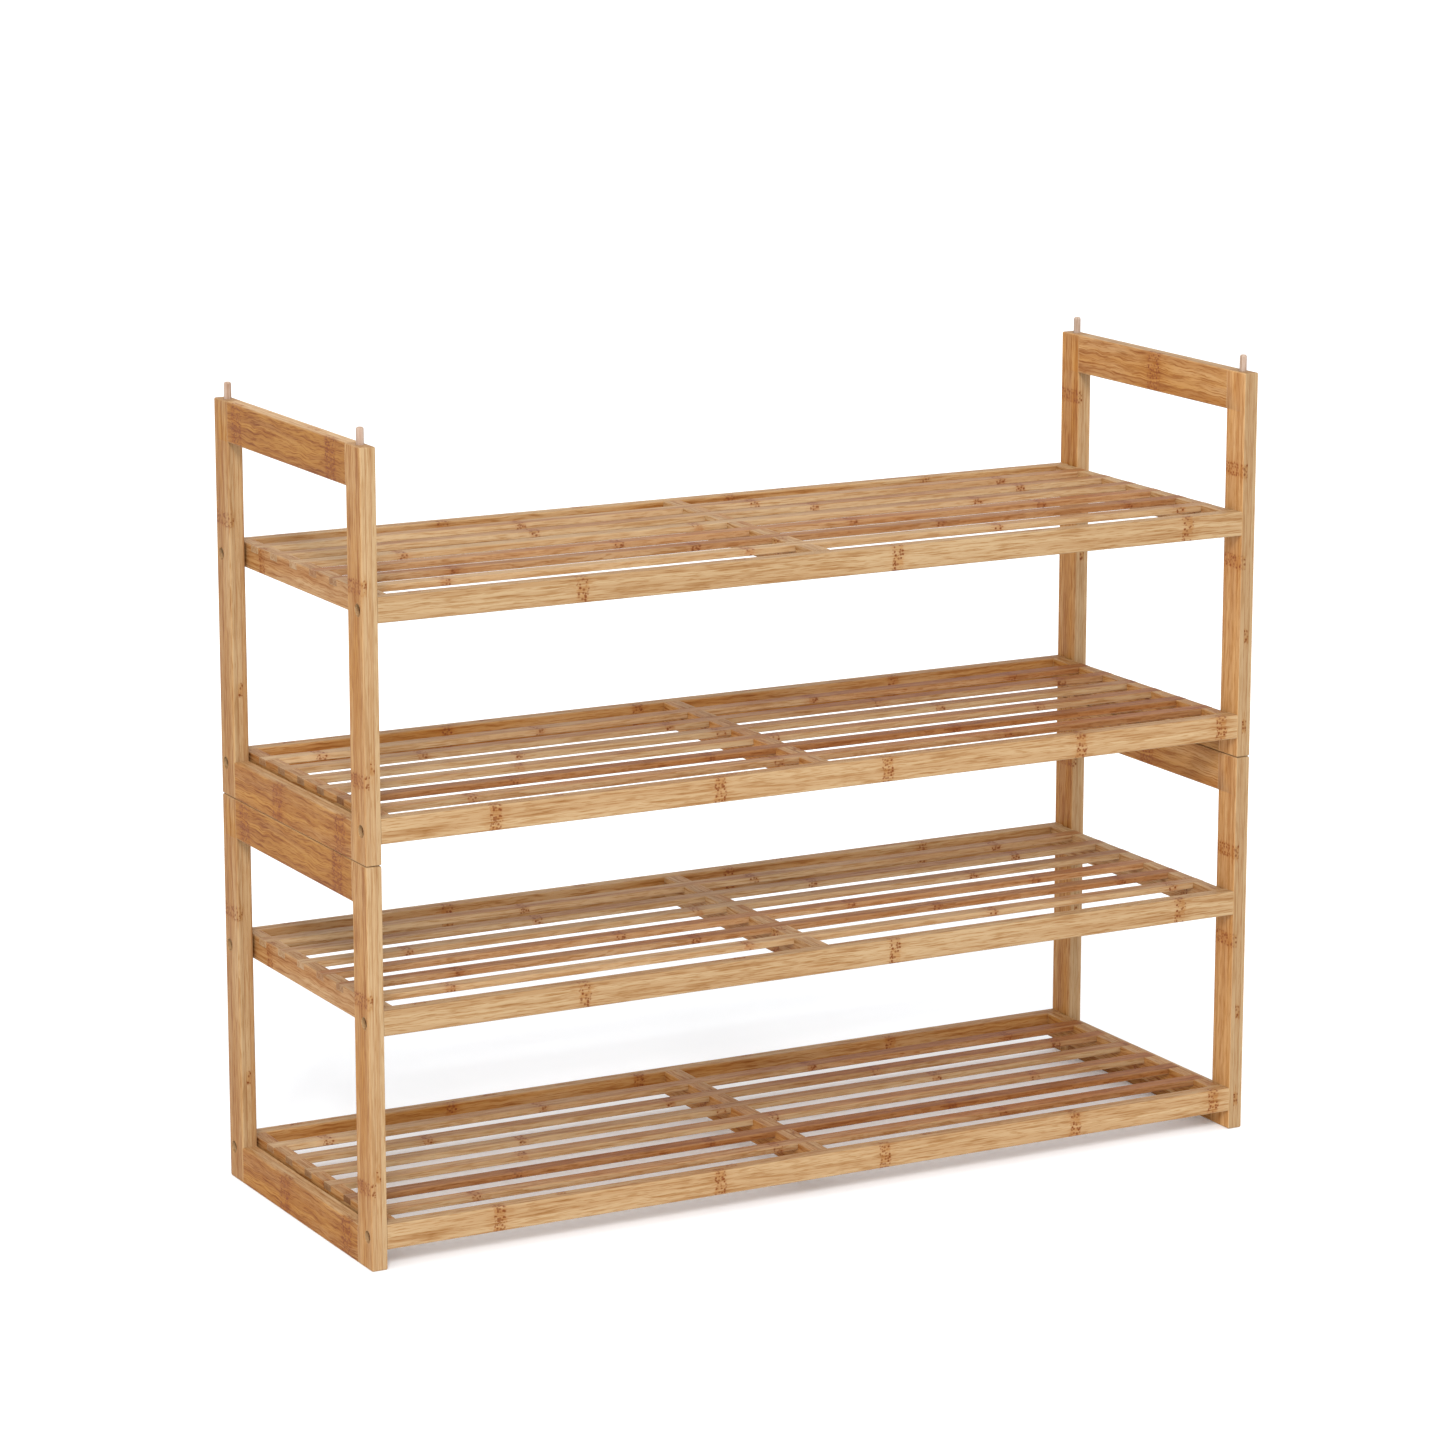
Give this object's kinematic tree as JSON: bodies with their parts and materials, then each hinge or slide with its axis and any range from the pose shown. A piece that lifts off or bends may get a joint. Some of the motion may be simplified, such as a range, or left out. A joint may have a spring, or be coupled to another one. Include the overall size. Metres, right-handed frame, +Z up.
{
  "type": "stackable shoe rack",
  "caption": "Pair of stackable bamboo shoe racks with slatted shelves between open side frames; dowel pegs on the posts let the upper rack lift off.",
  "frame": {"origin": "middle of the footprint of the lower rack, on the floor", "axes": "+X along the length, to the right seen from the front; -Y to the front; +Z up"},
  "size_m": [0.8, 0.28, 0.6538],
  "materials": {
    "frame_bamboo": "satin lacquered edge-laminated bamboo, golden tan, with faint vertical laminations and brown knot bands",
    "shelf_bamboo": "satin lacquered bamboo, light golden tan, fine lengthwise grain",
    "slat_bamboo": "satin lacquered bamboo, tan to reddish brown, fine lengthwise grain",
    "birch_dowel": "bare turned birch, pale pinkish",
    "bolt_metal": "dull brass-coloured bolt heads with a hexagon socket"
  },
  "bodies": {
    "lower_rack": {"lower_rack_left_front_post": "frame_bamboo", "lower_rack_left_back_post": "frame_bamboo", "lower_rack_left_top_rail": "frame_bamboo", "lower_rack_left_bottom_rail": "frame_bamboo", "lower_rack_right_front_post": "frame_bamboo", "lower_rack_right_back_post": "frame_bamboo", "lower_rack_right_top_rail": "frame_bamboo", "lower_rack_right_bottom_rail": "frame_bamboo", "lower_rack_lower_shelf_front_rail": "shelf_bamboo", "lower_rack_lower_shelf_back_rail": "shelf_bamboo", "lower_rack_lower_shelf_left_cleat": "shelf_bamboo", "lower_rack_lower_shelf_center_cleat": "shelf_bamboo", "lower_rack_lower_shelf_right_cleat": "shelf_bamboo", "lower_rack_lower_shelf_slat_1": "slat_bamboo", "lower_rack_lower_shelf_slat_2": "slat_bamboo", "lower_rack_lower_shelf_slat_3": "slat_bamboo", "lower_rack_lower_shelf_slat_4": "slat_bamboo", "lower_rack_lower_shelf_slat_5": "slat_bamboo", "lower_rack_lower_shelf_slat_6": "slat_bamboo", "lower_rack_upper_shelf_front_rail": "shelf_bamboo", "lower_rack_upper_shelf_back_rail": "shelf_bamboo", "lower_rack_upper_shelf_left_cleat": "shelf_bamboo", "lower_rack_upper_shelf_center_cleat": "shelf_bamboo", "lower_rack_upper_shelf_right_cleat": "shelf_bamboo", "lower_rack_upper_shelf_slat_1": "slat_bamboo", "lower_rack_upper_shelf_slat_2": "slat_bamboo", "lower_rack_upper_shelf_slat_3": "slat_bamboo", "lower_rack_upper_shelf_slat_4": "slat_bamboo", "lower_rack_upper_shelf_slat_5": "slat_bamboo", "lower_rack_upper_shelf_slat_6": "slat_bamboo"},
    "upper_rack": {"upper_rack_left_front_post": "frame_bamboo", "upper_rack_left_back_post": "frame_bamboo", "upper_rack_left_top_rail": "frame_bamboo", "upper_rack_left_bottom_rail": "frame_bamboo", "upper_rack_right_front_post": "frame_bamboo", "upper_rack_right_back_post": "frame_bamboo", "upper_rack_right_top_rail": "frame_bamboo", "upper_rack_right_bottom_rail": "frame_bamboo", "upper_rack_lower_shelf_front_rail": "shelf_bamboo", "upper_rack_lower_shelf_back_rail": "shelf_bamboo", "upper_rack_lower_shelf_left_cleat": "shelf_bamboo", "upper_rack_lower_shelf_center_cleat": "shelf_bamboo", "upper_rack_lower_shelf_right_cleat": "shelf_bamboo", "upper_rack_lower_shelf_slat_1": "slat_bamboo", "upper_rack_lower_shelf_slat_2": "slat_bamboo", "upper_rack_lower_shelf_slat_3": "slat_bamboo", "upper_rack_lower_shelf_slat_4": "slat_bamboo", "upper_rack_lower_shelf_slat_5": "slat_bamboo", "upper_rack_lower_shelf_slat_6": "slat_bamboo", "upper_rack_upper_shelf_front_rail": "shelf_bamboo", "upper_rack_upper_shelf_back_rail": "shelf_bamboo", "upper_rack_upper_shelf_left_cleat": "shelf_bamboo", "upper_rack_upper_shelf_center_cleat": "shelf_bamboo", "upper_rack_upper_shelf_right_cleat": "shelf_bamboo", "upper_rack_upper_shelf_slat_1": "slat_bamboo", "upper_rack_upper_shelf_slat_2": "slat_bamboo", "upper_rack_upper_shelf_slat_3": "slat_bamboo", "upper_rack_upper_shelf_slat_4": "slat_bamboo", "upper_rack_upper_shelf_slat_5": "slat_bamboo", "upper_rack_upper_shelf_slat_6": "slat_bamboo"}
  },
  "joints": [
    {"name": "upper_rack_lift", "type": "slide", "parent": "lower_rack", "child": "upper_rack", "axis": [0, 0, 1], "range_m": [0, 0.145]}
  ]
}
